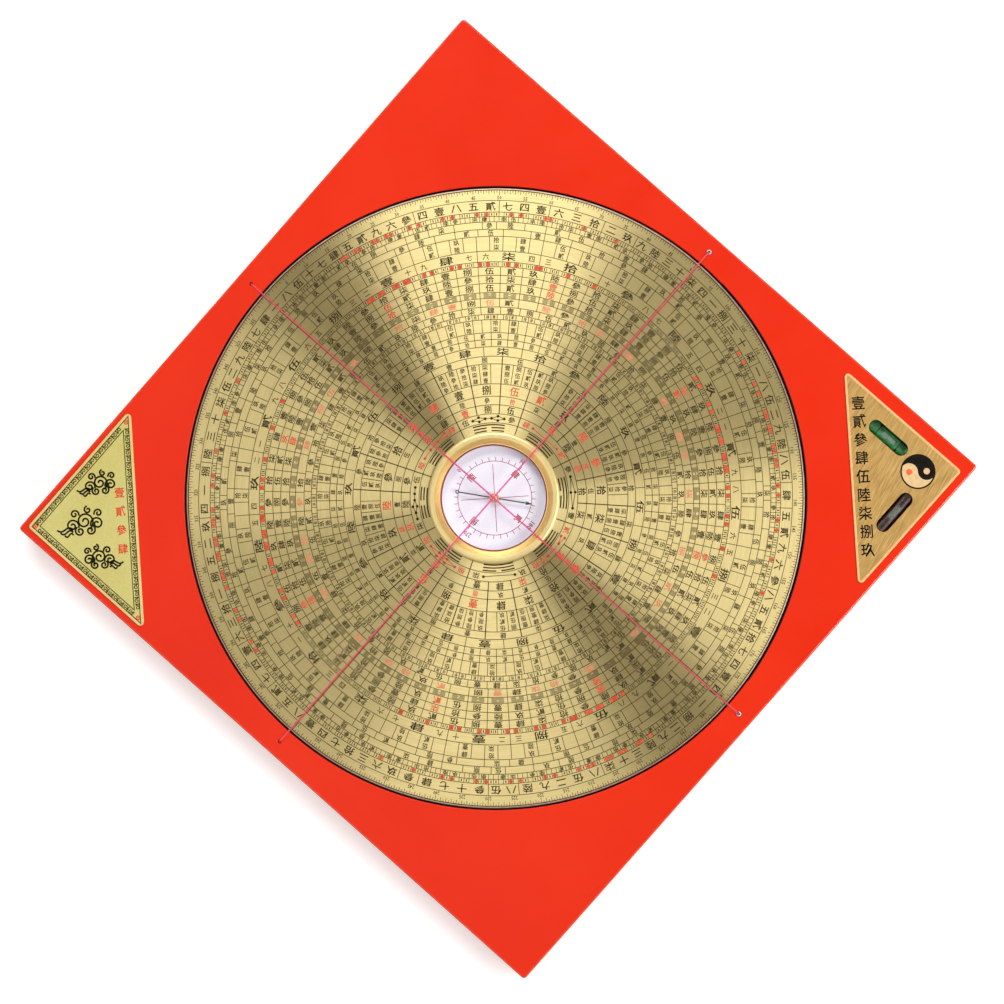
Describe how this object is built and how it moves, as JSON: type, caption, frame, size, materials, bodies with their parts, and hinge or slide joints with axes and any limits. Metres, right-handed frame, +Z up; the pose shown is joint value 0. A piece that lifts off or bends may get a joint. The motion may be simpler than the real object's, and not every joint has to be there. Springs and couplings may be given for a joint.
{
  "type": "feng shui compass",
  "caption": "Square lacquered compass board with a turning brass-faced dial, a pivoted magnetic needle under glass, cross threads and levelling vials.",
  "frame": {"origin": "middle of the board's flat underside", "axes": "+Z up, square to the dial; +X and +Y along the board's sides; the level plate lies in the +X +Y corner"},
  "size_m": [0.286, 0.286, 0.022],
  "materials": {
    "red_lacquer": "gloss lacquer",
    "golden_brass": "brushed, clear coated",
    "pale_brass": "brushed, printed",
    "vial_glass": "polished",
    "black_rubber": "matte",
    "green_liquid": "clear liquid",
    "dark_red_liquid": "clear liquid",
    "bubble": "air in liquid",
    "pink_nylon": "fluorescent line",
    "pale_plastic": "satin",
    "black_wood": "painted matte",
    "printed_brass": "circular brushed, printed in black and red",
    "turned_brass": "turned",
    "white_card": "matte, printed in red",
    "polished_steel": "polished",
    "dark_red_fibre": "matte",
    "clear_glass": "polished",
    "polished_brass": "polished",
    "blued_steel": "blued",
    "jewel": "polished"
  },
  "bodies": {
    "board": {"board": "red_lacquer", "level_plate": "golden_brass", "emblem_plate": "pale_brass", "green_vial_tube": "vial_glass", "green_vial_plug": "black_rubber", "green_vial_liquid": "green_liquid", "red_vial_tube": "vial_glass", "red_vial_plug": "black_rubber", "red_vial_liquid": "dark_red_liquid", "thread_x": "pink_nylon", "thread_y": "pink_nylon", "thread_plug_x": "pale_plastic", "thread_plug_y": "pale_plastic"},
    "dial": {"dial_base": "black_wood", "dial_plate": "printed_brass", "compass_case": "turned_brass", "compass_card": "white_card", "pivot_boss": "turned_brass", "pivot_pin": "polished_steel", "gasket": "dark_red_fibre", "glass": "clear_glass", "bezel": "polished_brass"},
    "needle": {"needle_blade": "blued_steel", "needle_cap": "turned_brass", "needle_jewel": "jewel"},
    "green_bubble": {"green_vial_bubble": "bubble"},
    "red_bubble": {"red_vial_bubble": "bubble"}
  },
  "joints": [
    {"name": "dial_turn", "type": "hinge", "parent": "board", "child": "dial", "pos_m": [0, 0, 0.006], "axis": [0, 0, 1], "continuous": true},
    {"name": "needle_turn", "type": "hinge", "parent": "dial", "child": "needle", "pos_m": [0, 0, 0.0157], "axis": [0, 0, 1], "continuous": true},
    {"name": "green_bubble_slide", "type": "slide", "parent": "board", "child": "green_bubble", "axis": [1, 0, 0], "range_m": [-0.0049, 0.0049]},
    {"name": "red_bubble_slide", "type": "slide", "parent": "board", "child": "red_bubble", "axis": [0, 1, 0], "range_m": [-0.0049, 0.0049]}
  ]
}
